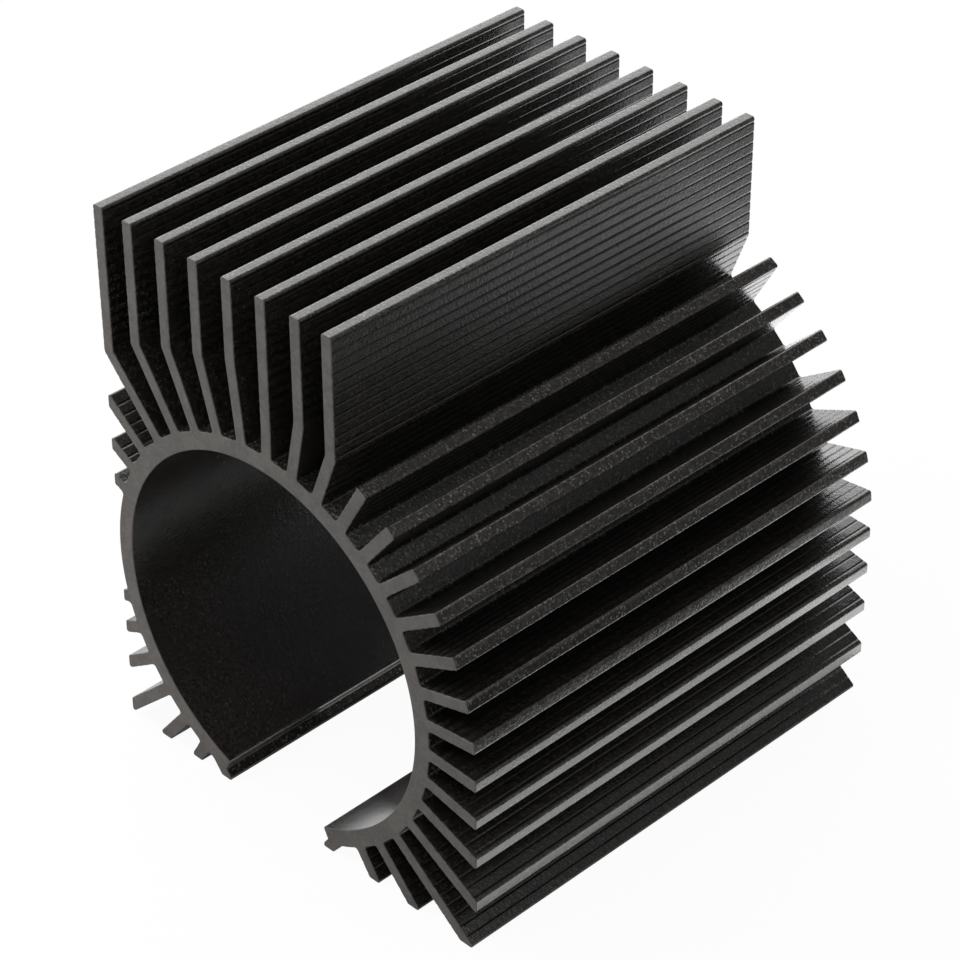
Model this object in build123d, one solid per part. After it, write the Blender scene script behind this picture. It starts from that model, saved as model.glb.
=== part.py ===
from build123d import *
import math
import os

# Motor heat sink: one length of black anodised aluminium extrusion.
# A split ring clips round the motor's can. Uprights stand over the ring, plain radial fins leave the rest
# of it, and two small feet flank its slit.
# The bore runs along Y. The origin is on its axis at mid-length, and the uprights point along +Z.

# Sizes, in millimetres and degrees

# The ring and its slit
length = 49.7
bore_diameter = 36.0
ring_wall = 1.7
slit_width = 12.3

# Fins leave the ring as spokes at an even pitch. The spoke nearest the top leans this far from upright.
spoke_pitch = 9.0
top_lean = 2.4
fin_thickness = 1.2
fin_length = 5.5
shortest_fin = 0.7

# Uprights start as spokes and turn to vertical. Those at the two ends stand closer to their neighbours.
upright_height = 15.5
upright_pitch = 4.1
end_pitch = 3.7
upright_offset = 0.93
uprights_to_left = 5
uprights_to_right = 2

# Feet beside the slit, each with a shallow notch in its inner face
foot_height = 0.42
foot_width = 1.2
foot_slope = 51.0
notch_depth = 0.55
notch_drop = 1.1
toe_height = 0.35

# A spoke is left out where less than this of the bare ring would part it from a foot
foot_clearance = 0.05

# Rounded corners of the section. On a short side, a corner takes no more than this share of the side.
root_radius = 0.35
tip_radius = 0.25
bend_radius = 0.8
lip_radius = 0.2
notch_radius = 0.1
corner_share = 0.45

# Fine grooves along both flanks of every fin, apart from the roots that neighbouring uprights hide
groove_pitch = 1.0
groove_width = 0.3
groove_depth = 0.1

# Places that follow from these sizes. In the section X is to the right and Y is up.
bore_radius = bore_diameter / 2
ring_radius = bore_radius + ring_wall
top = ring_radius + upright_height
right = ring_radius + fin_length
lip = Vector(slit_width / 2, -math.sqrt(bore_radius ** 2 - (slit_width / 2) ** 2))
sole = -math.sqrt(ring_radius ** 2 - lip.X ** 2) - foot_height
gap_at_roots = math.radians(spoke_pitch) * ring_radius - fin_thickness
radius_at_roots = min(root_radius, corner_share * gap_at_roots)


def direction(angle):
    """Unit vector at an angle from X, in degrees."""
    return Vector(math.cos(math.radians(angle)), math.sin(math.radians(angle)))


def left_of(vector):
    """The vector after a quarter turn to the left."""
    return Vector(-vector.Y, vector.X)


def crossing(line, other):
    """Where two straight lines cross. A line is a point and a unit vector."""
    normal = left_of(other[1])
    return line[0] + line[1] * ((other[0] - line[0]).dot(normal) / line[1].dot(normal))


UP = direction(90)
ACROSS = direction(0)
top_line = (UP * top, ACROSS)
sole_line = (UP * sole, ACROSS)
right_line = (ACROSS * right, UP)


def way_round(point):
    """How far round the ring a point is, in degrees from the middle of the slit up the right-hand side."""
    return math.degrees(math.atan2(point.X, -point.Y)) % 360


def spoke_angle(index):
    """Angle of a spoke. Index 0 is the spoke nearest the top, and the indices count to the left."""
    return 90 - top_lean + index * spoke_pitch


def upright_x(index):
    """Where the upright on a spoke stands."""
    middle = upright_offset - index * upright_pitch
    if index == uprights_to_left:
        middle += upright_pitch - end_pitch
    if index == -uprights_to_right:
        middle -= upright_pitch - end_pitch
    return middle


left_line = (ACROSS * (upright_x(uprights_to_left) - fin_thickness / 2), UP)


def circle_corner(circle_radius, line, side, radius):
    """Arc that rounds the corner between a circle about the bore's axis and a line that leaves it.

    The arc lies outside the circle, on the given side of the line. Gives its point on the circle, its middle
    and its point on the line.
    """
    beside = line[0] + side * radius
    along = beside.dot(line[1])
    reach = math.sqrt(along ** 2 - beside.dot(beside) + (circle_radius + radius) ** 2) - along
    centre = beside + line[1] * reach
    on_circle = centre.normalized() * circle_radius
    on_line = centre - side * radius
    return on_circle, centre + (on_circle + on_line - centre * 2).normalized() * radius, on_line


def round_corner(before, corner, after, radius):
    """Arc that rounds the corner between two straight sides: its start, middle and end."""
    back = (before - corner).normalized()
    on = (after - corner).normalized()
    half = math.radians(back.get_angle(on)) / 2
    shorter = min((before - corner).length, (after - corner).length)
    trim = min(radius / math.tan(half), corner_share * shorter)
    nearest = trim / math.cos(half) - trim * math.tan(half)
    return corner + back * trim, corner + (back + on).normalized() * nearest, corner + on * trim


def groove_points(start, end, corner, inward):
    """Points of the grooves in a stretch of flank, from its outer end on.

    The first groove is half a pitch from the outer corner, as that corner was before it was rounded.
    """
    along = (end - start).normalized()
    place = corner + along * (groove_pitch / 2)
    points = []
    while (end - place).dot(along) > groove_width / 2:
        if (place - start).dot(along) > groove_width / 2:
            points += [place - along * (groove_width / 2), place + inward * groove_depth,
                       place + along * (groove_width / 2)]
        place += along * groove_pitch
    return points


def fin(stretches, tip, plain_sides=()):
    """Edges of a fin's two flanks and tip, and where it leaves the ring on its two sides.

    A stretch is its middle line, from the ring outward. The tip is the line that cuts the fin off. On a plain
    side, only the outermost stretch is grooved.
    """
    flanks = {}
    for side in (-1, 1):
        offset = side * fin_thickness / 2
        flanks[side] = [(point + left_of(along) * offset, along) for point, along in stretches]
    edges = []
    ring_points = []
    tip_ends = []
    for side, lines in flanks.items():
        root = circle_corner(ring_radius, lines[0], left_of(lines[0][1]) * side, radius_at_roots)
        ring_points.append(root[0])
        edges.append(ThreePointArc(*root))
        corners = [crossing(line, following) for line, following in zip(lines, lines[1:] + [tip])]
        corners.append(crossing(flanks[-side][-1], tip))
        start = previous = root[2]
        for place, line in enumerate(lines):
            radius = tip_radius
            if line is not lines[-1]:
                turns_to_side = left_of(line[1]).dot(lines[place + 1][1]) * side > 0
                radius = root_radius if turns_to_side else bend_radius
            bend = round_corner(previous, corners[place], corners[place + 1], radius)
            grooves = []
            if line is lines[-1] or side not in plain_sides:
                grooves = groove_points(bend[0], start, corners[place], left_of(line[1]) * -side)
            edges.append(Polyline(bend[0], *grooves, start))
            edges.append(ThreePointArc(*bend))
            previous = corners[place]
            start = bend[2]
        tip_ends.append(start)
    edges.append(Line(*tip_ends))
    return edges, ring_points


def spoke(index):
    """A plain radial fin, or None where it would hardly show."""
    along = direction(spoke_angle(index))
    tips = [(along * right, left_of(along))]
    if along.X > 0 and along.Y < 0:
        tips = [right_line]
    if along.X < 0:
        tips = [left_line]
    if along.Y < 0:
        tips.append(sole_line)
    middle = (Vector(0, 0), along)
    tip = min(tips, key=lambda line: crossing(middle, line).length)
    end = crossing(middle, tip)
    if end.length < ring_radius + shortest_fin:
        return None
    return fin([middle], tip)


def is_upright(index):
    """Whether a spoke turns to vertical."""
    return -uprights_to_right <= index <= uprights_to_left


def upright(index):
    """A fin that leaves the ring as a spoke and turns to vertical."""
    along = direction(spoke_angle(index))
    slanted = (Vector(0, 0), along)
    vertical = (ACROSS * upright_x(index), UP)
    bend = crossing(slanted, vertical)
    room = root_radius + bend_radius + fin_thickness
    if bend.Y > top - room:
        stretches = [slanted]
    elif bend.Y < 0 or bend.length < ring_radius + room:
        stretches = [vertical]
    else:
        stretches = [slanted, vertical]
    return fin(stretches, top_line, [side for side in (-1, 1) if is_upright(index + side)])


def foot(side):
    """Edges of a lip and its foot, and where they meet the bore and the ring.

    Side 1 is on the right of the slit, and -1 on its left.
    """
    notch = lip + Vector(notch_depth, -notch_drop)
    facet = (lip, (notch - lip).normalized())
    edge_arc = circle_corner(bore_radius, facet, left_of(facet[1]), lip_radius)
    slope = (Vector(lip.X + foot_width, sole), direction(180 + foot_slope))
    root = circle_corner(ring_radius, slope, left_of(slope[1]), radius_at_roots)
    points = [edge_arc[2], notch, Vector(lip.X, sole + toe_height), Vector(lip.X, sole), slope[0], root[2]]
    arcs = []
    for place, radius in enumerate((notch_radius, notch_radius, tip_radius, tip_radius)):
        arcs.append(round_corner(*points[place:place + 3], radius))
    starts = [points[0]] + [arc[2] for arc in arcs]
    ends = [arc[0] for arc in arcs] + [points[-1]]
    edges = [ThreePointArc(*arc) for arc in [edge_arc] + arcs + [root]]
    edges += [Line(start, end) for start, end in zip(starts, ends)]
    if side < 0:
        edges = [edge.mirror(Plane.YZ) for edge in edges]
    return edges, Vector(edge_arc[0].X * side, edge_arc[0].Y), Vector(root[0].X * side, root[0].Y)


def ring_arc(start, end):
    """The ring's bare outside between two points."""
    return ThreePointArc(start, (start + end).normalized() * ring_radius, end)


# The section's outline runs to the left round the ring, from the right-hand foot to the left-hand one

outline, bore_start, last_point = foot(1)
left_foot, bore_end, left_root = foot(-1)
clearance_angle = math.degrees(foot_clearance / ring_radius)
first_way = way_round(last_point) + clearance_angle
last_way = way_round(left_root) - clearance_angle
first_index = math.ceil((top_lean - 180) / spoke_pitch)
for index in range(first_index, first_index + int(360 / spoke_pitch)):
    fin_parts = upright(index) if is_upright(index) else spoke(index)
    if fin_parts is None:
        continue
    fin_edges, (near_point, far_point) = fin_parts
    if way_round(near_point) < first_way or way_round(far_point) > last_way:
        continue
    outline.append(ring_arc(last_point, near_point))
    outline += fin_edges
    last_point = far_point
outline.append(ring_arc(last_point, left_root))
outline += left_foot
outline.append(ThreePointArc(bore_start, UP * bore_radius, bore_end))

section = make_face([edge for curve in outline for edge in curve.edges()])
back = Plane.XZ.offset(-length / 2)
heat_sink = extrude(back * section, amount=length)

os.makedirs("parts", exist_ok=True)
export_step(heat_sink, "parts/heat_sink.step")
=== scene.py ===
# %% [markdown]
# # A motor heat sink in a plain studio
#
# The object is one length of black anodised aluminium extrusion. It clips round the can of a small motor
# and carries the motor's heat away through its fins. Everything here is one piece of metal, so the whole
# picture depends on three things: a clean section, a finish that catches light as anodised metal does, and
# light that comes from the right places.
#
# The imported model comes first. It fixes the shape and the size, and all that follows is fitted round it.

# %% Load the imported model
import math

import bmesh
import bpy
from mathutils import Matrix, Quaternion, Vector


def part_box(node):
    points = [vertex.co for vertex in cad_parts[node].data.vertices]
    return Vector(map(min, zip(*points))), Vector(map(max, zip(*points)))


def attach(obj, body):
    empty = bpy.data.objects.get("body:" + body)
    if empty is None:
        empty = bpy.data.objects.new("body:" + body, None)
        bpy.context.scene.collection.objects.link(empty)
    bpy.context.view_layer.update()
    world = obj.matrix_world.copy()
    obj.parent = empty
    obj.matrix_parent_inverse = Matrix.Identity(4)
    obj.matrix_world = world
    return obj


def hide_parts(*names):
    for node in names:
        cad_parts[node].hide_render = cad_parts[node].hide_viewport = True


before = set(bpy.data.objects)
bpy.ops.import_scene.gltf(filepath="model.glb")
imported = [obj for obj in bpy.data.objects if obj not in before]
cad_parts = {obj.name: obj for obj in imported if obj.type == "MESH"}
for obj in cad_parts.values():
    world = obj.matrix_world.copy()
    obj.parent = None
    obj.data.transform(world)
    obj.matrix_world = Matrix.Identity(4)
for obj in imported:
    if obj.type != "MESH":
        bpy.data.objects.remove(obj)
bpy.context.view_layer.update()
cad_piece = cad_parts["heat_sink"]
MM = 0.001
low, high = (Vector(corner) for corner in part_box("heat_sink"))
length = high.y - low.y
print("The solid is", " x ".join(f"{side / MM:.1f}" for side in high - low), "mm")

# %% [markdown]
# ## The camera
#
# A product picture is usually taken with a long lens, which keeps parallel edges nearly parallel. The place
# of the camera was worked out from the straight edges and the round bore in the photograph. It could be
# stored as a matrix. Angles round a target say the same thing in a way that can be read and changed, so
# they are used.

# %% Place the camera
SENSOR_WIDTH = 36.0
LENS = 128.06
CAMERA_TARGET = Vector((-1.24, 1.81, 3.04)) * MM
CAMERA_DISTANCE = 305.8 * MM
CAMERA_AZIMUTH = math.radians(45.44)
CAMERA_ELEVATION = math.radians(35.39)
CAMERA_ROLL = math.radians(-0.24)
NEAREST_SEEN = 10 * MM


def direction(azimuth, elevation):
    """Unit vector out from the object. Azimuth 0 is its front, -Y, and 90 degrees its right, +X."""
    level = math.cos(elevation)
    return Vector((level * math.sin(azimuth), -level * math.cos(azimuth), math.sin(elevation)))


def looking_at(place, target):
    """The turn that points a camera or a lamp from its place at a target."""
    return (target - place).to_track_quat("-Z", "Y")


camera = bpy.data.objects.new("camera", bpy.data.cameras.new("camera"))
bpy.context.collection.objects.link(camera)
camera.data.sensor_width = SENSOR_WIDTH
camera.data.lens = LENS
camera.data.clip_start = NEAREST_SEEN
camera.location = CAMERA_TARGET + direction(CAMERA_AZIMUTH, CAMERA_ELEVATION) * CAMERA_DISTANCE
camera.rotation_mode = "QUATERNION"
camera.rotation_quaternion = (
    looking_at(camera.location, CAMERA_TARGET) @ Quaternion((0, 0, 1), CAMERA_ROLL)
)
bpy.context.scene.camera = camera
print("The camera stands at", tuple(round(x / MM, 1) for x in camera.location), "mm")

# %% [markdown]
# ## Helpers for node trees
#
# Geometry trees and material trees are both graphs of nodes. In the editor they are drawn by hand. In a
# script one small function is enough: it adds a node, sets its options, and fills each input either with a
# value or with a link from another node's output. Three more make the kinds of node that the trees use
# most.

# %% Define the helpers


def place(tree, kind, inputs=None, **options):
    """Adds a node to a tree. An input is named or numbered, and gets a value or another node's output."""
    node = tree.nodes.new(kind)
    for name, value in options.items():
        setattr(node, name, value)
    for name, value in (inputs or {}).items():
        if isinstance(value, bpy.types.NodeSocket):
            tree.links.new(value, node.inputs[name])
        else:
            node.inputs[name].default_value = value
    return node


def math_node(tree, operation, *values):
    """The output of a Math node."""
    return place(tree, "ShaderNodeMath", dict(enumerate(values)), operation=operation).outputs[0]


def vector_node(tree, operation, *values):
    """The Vector Math node that does the operation."""
    return place(tree, "ShaderNodeVectorMath", dict(enumerate(values)), operation=operation)


def remap(tree, value, start, full, least=0):
    """The output of a Map Range node. It runs from least, where a value starts to count, to 1 in full."""
    inputs = {"Value": value, "From Min": start, "From Max": full, "To Min": least}
    return place(tree, "ShaderNodeMapRange", inputs).outputs[0]


# %% [markdown]
# ## The section of the extrusion
#
# A press pushes hot aluminium through a die, so the real thing is one outline, drawn out straight. Then a
# saw cuts it to length and a quick deburr takes the sharpness off the cut edges. The copy is made in the
# same order.
#
# First comes the section. The solid's front end is a fan of loose triangles. They are merged and dissolved
# into one flat face, whose rim is the outline. Filling a curve would give such a face too, but between fins
# whose tips are in line a fill can bridge the gap. Long flats are then cut in three, so that wear and dust,
# which are stored on points, fade out within a fraction of a millimetre. The solid's two long arcs, the
# bore and the outside of the ring, have facets about 2 mm wide, so the new points on them are moved out to
# the true circle.
#
# The die lines are grooves 0.3 mm wide. In the solid they are a little too crisp for the soft look that
# etching gives them, so here each one is made half as deep. That is 0.05 mm, and leaves the form alone.

# %% Take the section from the solid
MERGE_DISTANCE = 0.0001 * MM
LONG_FLAT = 0.4 * MM
END_NORMAL = 0.5
BORE_RADIUS = 18.0 * MM
RING_RADIUS = 19.7 * MM
FACET_DEPTH = 0.05 * MM
GROOVE_WIDTH = 0.3 * MM
GROOVE_DEPTH = 0.05 * MM
WIDTH_TOLERANCE = 0.01 * MM


def soften_grooves(work):
    """Moves the bottom of every groove halfway out. A groove is known by its width."""
    for corner in [corner for face in work.faces for corner in face.loops if not corner.is_convex]:
        before = corner.link_loop_prev.vert.co
        after = corner.link_loop_next.vert.co
        if abs((after - before).length - GROOVE_WIDTH) < WIDTH_TOLERANCE:
            mouth = (before + after) / 2
            corner.vert.co = mouth + (corner.vert.co - mouth).normalized() * GROOVE_DEPTH


def end_face(solid):
    """The solid's front end as a mesh with one flat face."""
    work = bmesh.new()
    work.from_mesh(solid.data)
    bmesh.ops.remove_doubles(work, verts=work.verts, dist=MERGE_DISTANCE)
    others = [face for face in work.faces if face.normal.y > -END_NORMAL]
    bmesh.ops.delete(work, geom=others, context="FACES")
    bmesh.ops.dissolve_faces(work, faces=work.faces)
    flats = [edge for edge in work.edges if edge.calc_length() > LONG_FLAT]
    bmesh.ops.bisect_edges(work, edges=flats, cuts=2)
    for point in work.verts:
        radius = math.hypot(point.co.x, point.co.z)
        for circle in (BORE_RADIUS, RING_RADIUS):
            if 0 < circle - radius < FACET_DEPTH:
                point.co.x *= circle / radius
                point.co.z *= circle / radius
    print("The outline has", len(work.edges), "edges round", len(work.faces), "face")
    soften_grooves(work)
    mesh = bpy.data.meshes.new("section")
    work.to_mesh(mesh)
    work.free()
    return mesh


section = end_face(cad_piece)

# %% [markdown]
# ## The extrusion, by rule
#
# Geometry Nodes then follow the press and the saw. The tree draws the face out along Y in five steps and
# pulls the two end rims in by a hair for the deburred edge. A bevel modifier could do that, but the outline
# has thousands of tiny edges, where a bevel goes wrong. Moving the rims along their own normals is simple.
#
# The tree also measures each edge. Outward edges become the attribute `ridge`, where anodising wears pale,
# and the bottoms of the fine grooves become `furrow`, where the finishes paint dark dashes of shade into the
# colour. The two edges of a groove turn outward as well, but they lie in a flat side where nothing rubs.
# Their bend gives them away, so they are left out of `ridge` and counted in `furrow` by half. Faces that look
# straight out from the axis, or out of an end, become `open_face`. The painted glints of the grain are full
# there and weak on the flanks in the narrow gaps, where shade falls.
#
# Last, the tree hands out the finishes. It tells the bore by its distance from the axis, and the cut ends
# by the way they face.

# %% Build the tree that draws the section out
EDGE_BREAK = 0.06 * MM
WEAR_FADE = 0.3 * MM
SHARP_ANGLE = math.radians(15)

# An edge of a groove bends this far. A point on it averages that with the flat edges it meets, so there the
# bend is half of it, give or take the tolerance.
GROOVE_EDGE_BEND = math.atan2(GROOVE_DEPTH, GROOVE_WIDTH / 2)
BEND_TOLERANCE = 0.03
GROOVE_EDGE_SHARE = 0.5

# Bends in radians where a ridge or a furrow starts, and where it counts in full
RIDGE_BENDS = (0.03, 0.06)
FURROW_BENDS = (-0.1, -0.3)

# How squarely a face has to look outward, as a cosine, to start being open and to be wholly open
OPEN_COSINES = (0.3, 0.9)

ACROSS = (1, 0, 1)

drawing = bpy.data.node_groups.new("Draw the section out", "GeometryNodeTree")
for name, kind in (
    ("Geometry", "NodeSocketGeometry"),
    ("Length", "NodeSocketFloat"),
    ("Edge break", "NodeSocketFloat"),
    ("Wear fade", "NodeSocketFloat"),
    ("Skin", "NodeSocketMaterial"),
    ("Bore", "NodeSocketMaterial"),
    ("Cut ends", "NodeSocketMaterial"),
):
    drawing.interface.new_socket(name=name, in_out="INPUT", socket_type=kind)
drawing.interface.new_socket(name="Geometry", in_out="OUTPUT", socket_type="NodeSocketGeometry")


def draw_out(tree, given):
    """The section drawn out along Y in five steps, closed at both ends."""
    ends = math_node(tree, "ADD", given["Edge break"], given["Wear fade"])
    middle = math_node(tree, "SUBTRACT", given["Length"], math_node(tree, "MULTIPLY", ends, 2))
    steps = (given["Edge break"], given["Wear fade"], middle, given["Wear fade"], given["Edge break"])
    drawn = place(tree, "GeometryNodeFlipFaces", {"Mesh": given["Geometry"]}).outputs[0]
    end = None
    for step in steps:
        offset = place(tree, "ShaderNodeCombineXYZ", {"Y": step}).outputs[0]
        inputs = {"Mesh": drawn, "Offset": offset, "Individual": False}
        if end:
            inputs["Selection"] = end
        extrusion = place(tree, "GeometryNodeExtrudeMesh", inputs, mode="FACES")
        drawn, end = extrusion.outputs["Mesh"], extrusion.outputs["Top"]
    joined = tree.nodes.new("GeometryNodeJoinGeometry")
    tree.links.new(given["Geometry"], joined.inputs[0])
    tree.links.new(drawn, joined.inputs[0])
    inputs = {"Geometry": joined.outputs[0], "Distance": MERGE_DISTANCE}
    return place(tree, "GeometryNodeMergeByDistance", inputs).outputs[0]


def position(tree):
    """Where each point or face lies."""
    return tree.nodes.new("GeometryNodeInputPosition").outputs[0]


def normal_of(tree):
    """The way each point or face looks."""
    return tree.nodes.new("GeometryNodeInputNormal").outputs["Normal"]


def part_across(tree, vector):
    """A vector's part across the extrusion."""
    return vector_node(tree, "MULTIPLY", vector, ACROSS).outputs[0]


def part_along(tree, vector):
    """The size of a vector's part along the extrusion."""
    return math_node(tree, "ABSOLUTE", place(tree, "ShaderNodeSeparateXYZ", {0: vector}).outputs["Y"])


def break_end_edges(tree, bar, given):
    """The bar with both end rims pulled inward."""
    both_rims = math_node(tree, "SUBTRACT", given["Length"], given["Edge break"])
    to_rim = math_node(tree, "MULTIPLY", both_rims, 0.5)
    at_end = math_node(tree, "GREATER_THAN", part_along(tree, position(tree)), to_rim)
    outward = vector_node(tree, "NORMALIZE", part_across(tree, normal_of(tree))).outputs[0]
    inward = math_node(tree, "MULTIPLY", given["Edge break"], -1)
    inputs = {0: outward, "Scale": inward}
    shift = place(tree, "ShaderNodeVectorMath", inputs, operation="SCALE").outputs[0]
    inputs = {"Geometry": bar, "Selection": at_end, "Offset": shift}
    return place(tree, "GeometryNodeSetPosition", inputs).outputs[0]


def openness(tree):
    """How open a face lies: 1 where it looks out from the axis or out of an end, 0 on a fin's flank.

    A face that looks straight at the axis, as the bore does, counts as open too.
    """
    normal = normal_of(tree)
    away = vector_node(tree, "NORMALIZE", part_across(tree, position(tree))).outputs[0]
    facing = vector_node(tree, "DOT_PRODUCT", away, normal).outputs["Value"]
    most = math_node(tree, "MAXIMUM", math_node(tree, "ABSOLUTE", facing), part_along(tree, normal))
    return remap(tree, most, *OPEN_COSINES)


def shade_and_measure(tree, bar):
    """The bar smooth across its arcs and crisp at its corners, with what the finishes need as attributes."""
    inputs = {"Geometry": bar, "Shade Smooth": True}
    smooth = place(tree, "GeometryNodeSetShadeSmooth", inputs, domain="FACE").outputs[0]
    angle = tree.nodes.new("GeometryNodeInputMeshEdgeAngle").outputs
    is_sharp = math_node(tree, "GREATER_THAN", angle["Unsigned Angle"], SHARP_ANGLE)
    inputs = {"Geometry": smooth, "Selection": is_sharp, "Shade Smooth": False}
    bar = place(tree, "GeometryNodeSetShadeSmooth", inputs, domain="EDGE").outputs[0]
    inputs = {"Value": angle["Signed Angle"]}
    bend = place(tree, "GeometryNodeFieldOnDomain", inputs, data_type="FLOAT", domain="POINT").outputs[0]
    off_groove_edge = math_node(tree, "ABSOLUTE", math_node(tree, "SUBTRACT", bend, GROOVE_EDGE_BEND / 2))
    is_elsewhere = math_node(tree, "GREATER_THAN", off_groove_edge, BEND_TOLERANCE)
    is_groove_edge = math_node(tree, "SUBTRACT", 1, is_elsewhere)
    at_groove_edge = math_node(tree, "MULTIPLY", is_groove_edge, GROOVE_EDGE_SHARE)
    ridge = math_node(tree, "MULTIPLY", remap(tree, bend, *RIDGE_BENDS), is_elsewhere)
    # `furrow` marks the groove bottoms, where the finishes paint shade into the colour.
    furrow = math_node(tree, "MAXIMUM", remap(tree, bend, *FURROW_BENDS), at_groove_edge)
    for name, amount, domain in (
        ("ridge", ridge, "POINT"),
        ("furrow", furrow, "POINT"),
        ("open_face", openness(tree), "FACE"),
    ):
        inputs = {"Geometry": bar, "Name": name, "Value": amount}
        store = place(tree, "GeometryNodeStoreNamedAttribute", inputs, data_type="FLOAT", domain=domain)
        bar = store.outputs[0]
    return bar


def give_finishes(tree, bar, given):
    """The bar with its three finishes: the skin's all over, then the bore's, then that of the cut ends."""
    from_axis = vector_node(tree, "LENGTH", part_across(tree, position(tree))).outputs["Value"]
    is_bore = math_node(tree, "LESS_THAN", from_axis, BORE_RADIUS + FACET_DEPTH)
    is_end = math_node(tree, "GREATER_THAN", part_along(tree, normal_of(tree)), END_NORMAL)
    bar = place(tree, "GeometryNodeRealizeInstances", {"Geometry": bar}).outputs[0]
    for where, finish in ((True, given["Skin"]), (is_bore, given["Bore"]), (is_end, given["Cut ends"])):
        inputs = {"Geometry": bar, "Selection": where, "Material": finish}
        bar = place(tree, "GeometryNodeSetMaterial", inputs).outputs[0]
    return bar


given = drawing.nodes.new("NodeGroupInput").outputs
bar = break_end_edges(drawing, draw_out(drawing, given), given)
bar = shade_and_measure(drawing, bar)
place(drawing, "NodeGroupOutput", {0: give_finishes(drawing, bar, given)})
print("The drawing tree has", len(drawing.nodes), "nodes")

# %% [markdown]
# ## Effects that the finishes share
#
# Anodising turns the surface of aluminium into a thin layer of dyed oxide. Close up it isn't even. Etching
# before the bath leaves a fine grain, tools and dies leave fine lines, and corners rub pale. The finishes of
# this part show all three, only in other amounts, so each effect is one node group with its own sliders. The
# grain's sparkle is painted into the colour as pale flecks, here more and there less: painted glints, full on
# open faces and weak in the shaded gaps between the fins. A group gives out masks and heights, and the shader
# itself stays in the material.

# %% Build the shared effects


def new_effect(name, inputs, outputs):
    """An empty shader group with number inputs and outputs. Returns it and its input node's sockets."""
    group = bpy.data.node_groups.new(name, "ShaderNodeTree")
    for socket in inputs:
        group.interface.new_socket(name=socket, in_out="INPUT", socket_type="NodeSocketFloat")
    for socket in outputs:
        group.interface.new_socket(name=socket, in_out="OUTPUT", socket_type="NodeSocketFloat")
    return group, group.nodes.new("NodeGroupInput").outputs


def object_coordinates(tree):
    """The Object coordinates of the surface."""
    return tree.nodes.new("ShaderNodeTexCoord").outputs["Object"]


def noise(tree, scale, detail, roughness=0.5, where=None):
    """The value of a Noise texture, on the Object coordinates unless other ones are given."""
    inputs = {"Scale": scale, "Detail": detail, "Roughness": roughness}
    inputs["Vector"] = where or object_coordinates(tree)
    return place(tree, "ShaderNodeTexNoise", inputs).outputs["Fac"]


# How many flecks, clouds and drifts there are in the length of one grain
FLECKS_PER_GRAIN = 1.8
CLOUDS_PER_GRAIN = 0.8
DRIFTS_PER_GRAIN = 0.06

# The higher the rarity, the fewer flecks shine. The other two are shares of the full sparkle.
FLECK_RARITY = 10
SPARKLE_IN_GAPS = 0.15
SPARKLE_BETWEEN_DRIFTS = 0.6

# The wear left between its patches, as a share, and the power that holds wear close to the very edge
LEAST_WEAR = 0.2
WEAR_FOCUS = 3

# Values of a noise where its mask starts, and where the mask is full
CLOUD_VALUES = (0.46, 0.60)
DRIFT_VALUES = (0.4, 0.6)
STREAK_VALUES = (0.4, 0.65)
PATCH_VALUES = (0.4, 0.6)

grain, sliders = new_effect("Etched grain and painted glints", ("Size", "Sparkle", "Open face"), ("Height", "Painted glint", "Cloud"))
per_metre = math_node(grain, "DIVIDE", 1, sliders["Size"])
fine = noise(grain, per_metre, detail=3, roughness=0.65)
cloud_scale = math_node(grain, "MULTIPLY", per_metre, CLOUDS_PER_GRAIN)
cloud = remap(grain, noise(grain, cloud_scale, detail=3, roughness=0.7), *CLOUD_VALUES)
drift_scale = math_node(grain, "MULTIPLY", per_metre, DRIFTS_PER_GRAIN)
drift = remap(grain, noise(grain, drift_scale, detail=1), *DRIFT_VALUES, least=SPARKLE_BETWEEN_DRIFTS)
# Open faces get the full painted glint, and the flanks in the narrow gaps little of it, since shade falls
# there.
in_gaps = math_node(grain, "MAXIMUM", sliders["Open face"], SPARKLE_IN_GAPS)
sparkle_here = math_node(grain, "MULTIPLY", math_node(grain, "MULTIPLY", sliders["Sparkle"], in_gaps), drift)
# The flecks are painted glints: pale colour that stands in for the sparkle of the grain.
fleck_scale = math_node(grain, "MULTIPLY", per_metre, FLECKS_PER_GRAIN)
flecks = place(grain, "ShaderNodeTexVoronoi", {"Vector": object_coordinates(grain), "Scale": fleck_scale})
fleck = place(grain, "ShaderNodeSeparateXYZ", {0: flecks.outputs["Color"]}).outputs[0]
painted_glint = math_node(grain, "MULTIPLY", math_node(grain, "POWER", fleck, FLECK_RARITY), sparkle_here)
place(grain, "NodeGroupOutput", {"Height": fine, "Painted glint": painted_glint, "Cloud": cloud})

lines, sliders = new_effect("Fine lines", ("Along X", "Along Y", "Along Z"), ("Height", "Mask"))
spread = place(lines, "ShaderNodeCombineXYZ", {axis: sliders["Along " + axis] for axis in "XYZ"}).outputs[0]
stretched = vector_node(lines, "MULTIPLY", object_coordinates(lines), spread).outputs[0]
streaks = noise(lines, 1, detail=4, roughness=0.7, where=stretched)
place(lines, "NodeGroupOutput", {"Height": streaks, "Mask": remap(lines, streaks, *STREAK_VALUES)})

wear, sliders = new_effect("Edge wear", ("Ridge", "Patch size"), ("Mask",))
patches = noise(wear, math_node(wear, "DIVIDE", 1, sliders["Patch size"]), detail=3)
patch_mask = remap(wear, patches, *PATCH_VALUES, least=LEAST_WEAR)
rubbed = math_node(wear, "MULTIPLY", math_node(wear, "POWER", sliders["Ridge"], WEAR_FOCUS), patch_mask)
place(wear, "NodeGroupOutput", {"Mask": rubbed})
print("Shared effects:", ", ".join(group.name for group in (grain, lines, wear)))

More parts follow.
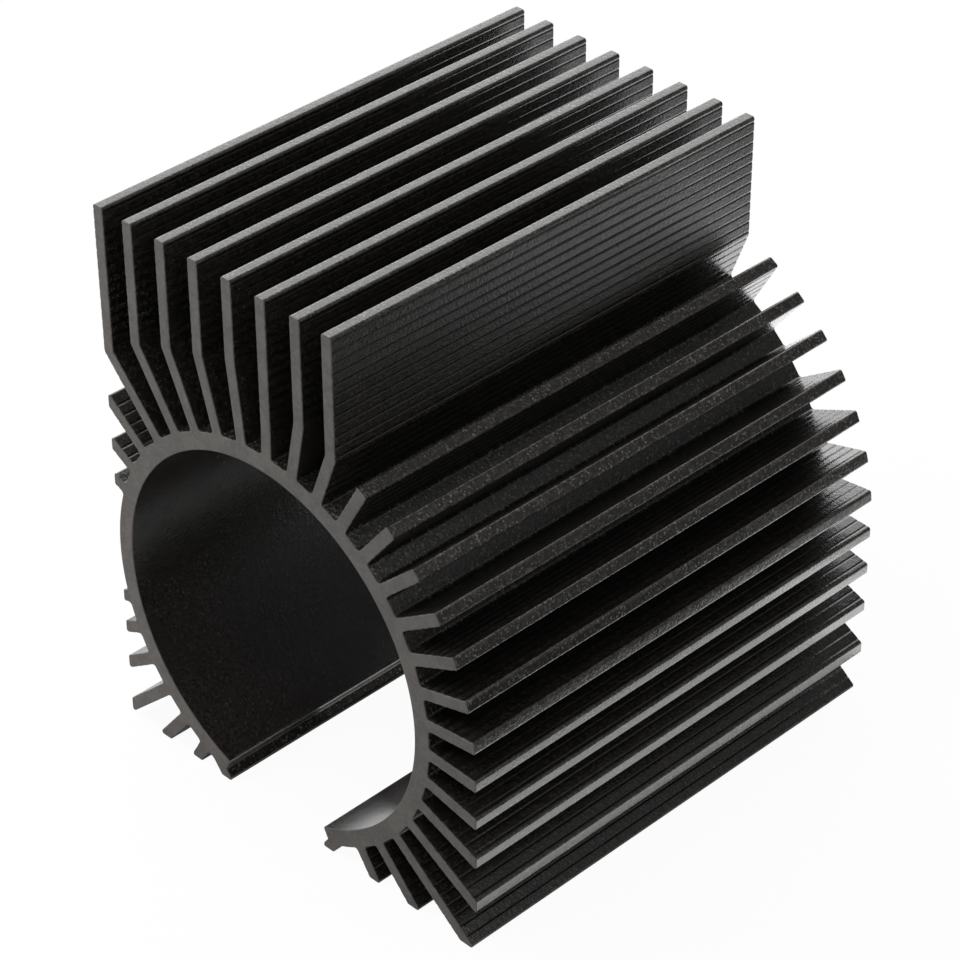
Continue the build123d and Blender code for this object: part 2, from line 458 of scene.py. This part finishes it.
# %% [markdown]
# ## The three finishes
#
# The drawn skin is satin black. Light glances off the clear oxide on top, whose refractive index is higher
# than that of glass, and nearly none comes back out of the dye. The bore gets a darker copy of the skin's
# finish with fewer flecks: painted shade for the hollow inside the ring. The sawn ends are anodised too, but
# the cut metal is rougher, so they look a matt brownish grey. One recipe makes all three. Only its numbers
# differ.

# %% Make the finishes
OXIDE_IOR = 1.76
# The grooves' colours are painted shade: near black in the bottoms, broken into dashes.
FURROW_PAINTED_SHADE = (0.002, 0.002, 0.002, 1)
FURROW_BETWEEN_DASHES = (0.010, 0.009, 0.008, 1)
DASH_SPREAD = (300, 900, 300)
WEAR_PATCH = 1.5 * MM

# Shares of the full effect, and how far the roughness ranges between the dullest and the glossiest grain
LINE_SHARE = 0.5
FURROW_SHADE_SHARE = 0.9
GLOSS_RANGE = 0.16


def mix_colours(tree, amount, first, second):
    """The output of a colour mix. The amount and both colours are values or links."""
    node = place(tree, "ShaderNodeMix", {0: amount, 6: first, 7: second}, data_type="RGBA")
    return node.outputs[2]


def anodised(name, colour, pale, dusty, roughness, grain_size, sparkle, line_spread, depths, wear_amount):
    """A black anodised finish.

    The line spread is in lines per metre along each axis. The depths are the grain's and the lines'.
    """
    material = bpy.data.materials.new(name)
    material.use_nodes = True
    tree = material.node_tree
    shader = tree.nodes["Principled BSDF"]
    shader.inputs["IOR"].default_value = OXIDE_IOR
    open_face, ridge, furrow = (place(tree, "ShaderNodeAttribute", attribute_name=measure).outputs["Fac"]
                                for measure in ("open_face", "ridge", "furrow"))
    inputs = {"Size": grain_size, "Sparkle": sparkle, "Open face": open_face}
    speckle = place(tree, "ShaderNodeGroup", inputs, node_tree=grain).outputs
    drag = place(tree, "ShaderNodeGroup", dict(enumerate(line_spread)), node_tree=lines).outputs
    shade_dashes = place(tree, "ShaderNodeGroup", dict(enumerate(DASH_SPREAD)), node_tree=lines).outputs
    rub = place(tree, "ShaderNodeGroup", {"Ridge": ridge, "Patch size": WEAR_PATCH}, node_tree=wear).outputs

    dragged = math_node(tree, "MULTIPLY", drag["Mask"], LINE_SHARE)
    furrow_shade_amount = math_node(tree, "MULTIPLY", furrow, FURROW_SHADE_SHARE)
    worn = math_node(tree, "MULTIPLY", rub["Mask"], wear_amount)
    # The groove bottoms are painted near black, broken into dashes: painted shade.
    furrow_shade = mix_colours(tree, shade_dashes["Mask"], FURROW_PAINTED_SHADE, FURROW_BETWEEN_DASHES)
    tone = mix_colours(tree, speckle["Cloud"], colour, dusty)
    tone = mix_colours(tree, dragged, tone, colour)
    # Painted glints: pale flecks mixed into the colour.
    tone = mix_colours(tree, speckle["Painted glint"], tone, pale)
    tone = mix_colours(tree, furrow_shade_amount, tone, furrow_shade)
    tone = mix_colours(tree, worn, tone, pale)
    tree.links.new(tone, shader.inputs["Base Color"])

    rough = math_node(tree, "MULTIPLY_ADD", speckle["Height"], GLOSS_RANGE, roughness - GLOSS_RANGE / 2)
    tree.links.new(rough, shader.inputs["Roughness"])

    grain_depth, line_depth = depths
    grain_height = math_node(tree, "MULTIPLY", speckle["Height"], grain_depth)
    height = math_node(tree, "MULTIPLY_ADD", drag["Height"], line_depth, grain_height)
    bump = place(tree, "ShaderNodeBump", {"Height": height, "Strength": 1.0, "Distance": 1.0})
    tree.links.new(bump.outputs["Normal"], shader.inputs["Normal"])
    return material


drawn_skin = anodised(
    "black_anodised_skin", colour=(0.011, 0.010, 0.009, 1), pale=(0.32, 0.31, 0.28, 1),
    dusty=(0.036, 0.032, 0.027, 1), roughness=0.20, grain_size=0.30 * MM, sparkle=0.44,
    line_spread=(9000, 60, 9000), depths=(0.040 * MM, 0.006 * MM), wear_amount=0.08)
# The bore's finish is the skin's in darker colours with fewer flecks: painted shade for the hollow inside the
# ring.
bore_painted_shade = anodised(
    "black_anodised_bore_painted_shade", colour=(0.004, 0.003, 0.0025, 1), pale=(0.32, 0.28, 0.25, 1),
    dusty=(0.022, 0.017, 0.014, 1), roughness=0.24, grain_size=0.26 * MM, sparkle=0.10,
    line_spread=(9000, 60, 9000), depths=(0.040 * MM, 0.006 * MM), wear_amount=0.08)
sawn_ends = anodised(
    "black_anodised_sawn_ends", colour=(0.038, 0.033, 0.029, 1), pale=(0.20, 0.18, 0.16, 1),
    dusty=(0.056, 0.044, 0.037, 1), roughness=0.7, grain_size=0.30 * MM, sparkle=0.10,
    line_spread=(900, 900, 9000), depths=(0.020 * MM, 0.006 * MM), wear_amount=0.16)
print("Finishes:", ", ".join(finish.name for finish in (drawn_skin, bore_painted_shade, sawn_ends)))

# %% [markdown]
# ## Drawing the piece
#
# The tree runs on the section. The evaluated result is turned into a plain mesh, because the file for other
# programs holds no modifiers. The new piece then stands for the solid, which stays in the model for
# contacts but isn't shown.

# %% Draw the heat sink out
source = bpy.data.objects.new("section", section)
bpy.context.collection.objects.link(source)
modifier = source.modifiers.new("Draw the section out", "NODES")
modifier.node_group = drawing
settings = {
    "Length": length,
    "Edge break": EDGE_BREAK,
    "Wear fade": WEAR_FADE,
    "Skin": drawn_skin,
    "Bore": bore_painted_shade,
    "Cut ends": sawn_ends,
}
for item in drawing.interface.items_tree:
    if item.in_out == "INPUT" and item.name in settings:
        modifier[item.identifier] = settings[item.name]

bpy.context.view_layer.update()
evaluated = source.evaluated_get(bpy.context.evaluated_depsgraph_get())
drawn_mesh = bpy.data.meshes.new_from_object(evaluated)

# The section has no finish of its own, so the first slot is empty
drawn_mesh.materials.pop(index=0)
heat_sink = bpy.data.objects.new("heat_sink_drawn", drawn_mesh)
bpy.context.collection.objects.link(heat_sink)
bpy.data.objects.remove(source)
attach(heat_sink, "root")
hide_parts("heat_sink")
drawn_mesh.calc_loop_triangles()
print("The drawn piece has", len(drawn_mesh.loop_triangles), "triangles and the finishes",
      [material.name for material in drawn_mesh.materials])

# %% [markdown]
# ## Floor and background
#
# The photograph has a plain white ground. A floor that is lit to pure white needs so much light that the
# object washes out. Instead the floor glows white for the camera's own rays, mixed with a little of its
# real shading, which keeps a trace of the soft shadow under the feet. Reflections get only a small share of
# that glow, because black metal over an evenly white floor turns grey. The world beyond it works the same
# way: white to the camera, and a dim, even light to all else.

# %% Make the floor and the background
FLOOR_SIZE = 3.0
PAPER = (0.9, 0.9, 0.9, 1)
WHITE = (1, 1, 1, 1)
WHITE_FOR_CAMERA = 0.95
WHITE_IN_REFLECTIONS = 0.10


def white_where_seen(tree):
    """How much of the floor is plain white: most for the camera, a little for reflections, none for light."""
    path = tree.nodes.new("ShaderNodeLightPath").outputs
    seen = math_node(tree, "MAXIMUM", path["Is Camera Ray"], path["Is Transmission Ray"])
    for_camera = math_node(tree, "MULTIPLY", seen, WHITE_FOR_CAMERA)
    mirrored = math_node(tree, "MULTIPLY", path["Is Glossy Ray"], WHITE_IN_REFLECTIONS)
    return math_node(tree, "MAXIMUM", for_camera, mirrored)


floor_mesh = bpy.data.meshes.new("floor")
half = FLOOR_SIZE / 2
rim = [(x * half, y * half, low.z) for x, y in ((-1, -1), (1, -1), (1, 1), (-1, 1))]
floor_mesh.from_pydata(rim, [], [(0, 1, 2, 3)])
floor = bpy.data.objects.new("floor", floor_mesh)
bpy.context.collection.objects.link(floor)
paper = bpy.data.materials.new("white_paper")
paper.use_nodes = True
tree = paper.node_tree
tree.nodes.remove(tree.nodes["Principled BSDF"])
matt = place(tree, "ShaderNodeBsdfDiffuse", {"Color": PAPER}).outputs[0]
glow = place(tree, "ShaderNodeEmission", {"Color": WHITE, "Strength": 1.0}).outputs[0]
surface = place(tree, "ShaderNodeMixShader", {0: white_where_seen(tree), 1: matt, 2: glow}).outputs[0]
tree.links.new(surface, tree.nodes["Material Output"].inputs["Surface"])
floor_mesh.materials.append(paper)

WORLD_LEVEL = 0.14
world = bpy.data.worlds.new("studio")
bpy.context.scene.world = world
world.use_nodes = True
tree = world.node_tree
sky = tree.nodes["Background"]
sky.inputs["Color"].default_value = WHITE
camera_ray = tree.nodes.new("ShaderNodeLightPath").outputs["Is Camera Ray"]
tree.links.new(math_node(tree, "MAXIMUM", camera_ray, WORLD_LEVEL), sky.inputs["Strength"])
print("The floor lies at", round(low.z / MM, 2), "mm")

# %% [markdown]
# ## Light
#
# Black, glossy things are lit by what they reflect. One large soft lamp behind and to the left draws the
# pale lines along the tops of the fins, and a low one under it brightens the rims of the lower fins. A
# small one stands close at the front left, so the cut face is a little lighter on that side, as in the
# photograph. A weak one at the right fills the gaps, and the last hangs overhead and lights the tips.
#
# The steep flanks mirror the floor. In the photograph they show bright patches next to deep black, as they
# do over a table with white and black cards on it. Such cards lie on the floor here too. The white ones are
# lamps that face up. Only reflections show them, and the camera sees a plain floor. The patches could be
# painted on the metal instead, but then they would be wrong from every other side.

# %% Hang the lamps and lay the cards
CARD_LIFT = 0.5 * MM
VELVET = (0.02, 0.02, 0.02, 1)
VELVET_ROUGHNESS = 0.9


def soft_lamp(name, width, height, radiance):
    """A rectangular lamp with the brightness that its reflection shows. No camera sees the lamp itself."""
    lamp = bpy.data.lights.new(name, "AREA")
    lamp.shape = "RECTANGLE"
    lamp.size = width
    lamp.size_y = height
    lamp.energy = radiance * math.pi * width * height
    holder = bpy.data.objects.new(name, lamp)
    bpy.context.collection.objects.link(holder)
    holder.visible_camera = False
    print(f"{name}: {lamp.energy:.2g} W")
    return holder


def softbox(name, azimuth, elevation, distance, width, height, radiance):
    """A lamp on a stand that faces the object."""
    holder = soft_lamp(name, width, height, radiance)
    holder.location = direction(math.radians(azimuth), math.radians(elevation)) * distance
    holder.rotation_euler = looking_at(holder.location, Vector((0, 0, 0))).to_euler()


softbox("key_behind_left", azimuth=225, elevation=36, distance=0.7, width=0.75, height=0.55, radiance=1.95)
softbox("low_behind_left", azimuth=234, elevation=10, distance=0.7, width=0.5, height=0.22, radiance=2.8)
softbox("fill_front_left", azimuth=-60, elevation=35, distance=0.22, width=0.16, height=0.16, radiance=3.8)
softbox("fill_right", azimuth=90, elevation=50, distance=0.7, width=0.45, height=0.45, radiance=1.35)
softbox("top", azimuth=-20, elevation=76, distance=0.7, width=0.6, height=0.6, radiance=1.8)


def low_panel(name, corners, radiance):
    """A lamp that lies on the floor and faces up. The corners are in millimetres."""
    (near_x, near_y), (far_x, far_y) = corners
    holder = soft_lamp(name, (far_x - near_x) * MM, (far_y - near_y) * MM, radiance)
    holder.location = ((near_x + far_x) / 2 * MM, (near_y + far_y) / 2 * MM, low.z + CARD_LIFT)
    holder.rotation_euler = (math.pi, 0, 0)


low_panel("low_panel_right", ((28, -25), (45, 40)), 1.2)
low_panel("low_panel_behind", ((-40, 28), (45, 85)), 1.2)
low_panel("low_panel_front", ((-3, -24), (12, -15)), 1.4)
low_panel("low_panel_left_lip", ((-13, -13), (-4, 25)), 1.5)

velvet = bpy.data.materials.new("black_velvet")
velvet.use_nodes = True
cloth = velvet.node_tree.nodes["Principled BSDF"].inputs
cloth["Base Color"].default_value = VELVET
cloth["Roughness"].default_value = VELVET_ROUGHNESS


def black_card(name, corners):
    """A black card on the floor, seen only in reflections. The corners are in millimetres."""
    (near_x, near_y), (far_x, far_y) = corners
    rim = [(near_x, near_y), (far_x, near_y), (far_x, far_y), (near_x, far_y)]
    mesh = bpy.data.meshes.new(name)
    mesh.from_pydata([(x * MM, y * MM, low.z + CARD_LIFT) for x, y in rim], [], [(0, 1, 2, 3)])
    mesh.materials.append(velvet)
    card = bpy.data.objects.new(name, mesh)
    bpy.context.collection.objects.link(card)
    card.visible_camera = False
    card.visible_diffuse = False
    card.visible_shadow = False


black_card("card_right", ((46, -120), (78, 48)))
black_card("card_far_right", ((78, -120), (400, 300)))
# This card is painted shade: in reflections it darkens the floor under the bar, where the bar's own shadow
# lies.
black_card("card_painted_shade_below", ((-4, -15), (22, 27)))
print("The floor has four low panels and three black cards")

# %% [markdown]
# ## Colour
#
# The Standard view keeps every colour as it was written, which suits a catalogue of parts.

# %% Finish
bpy.context.scene.view_settings.view_transform = "Standard"
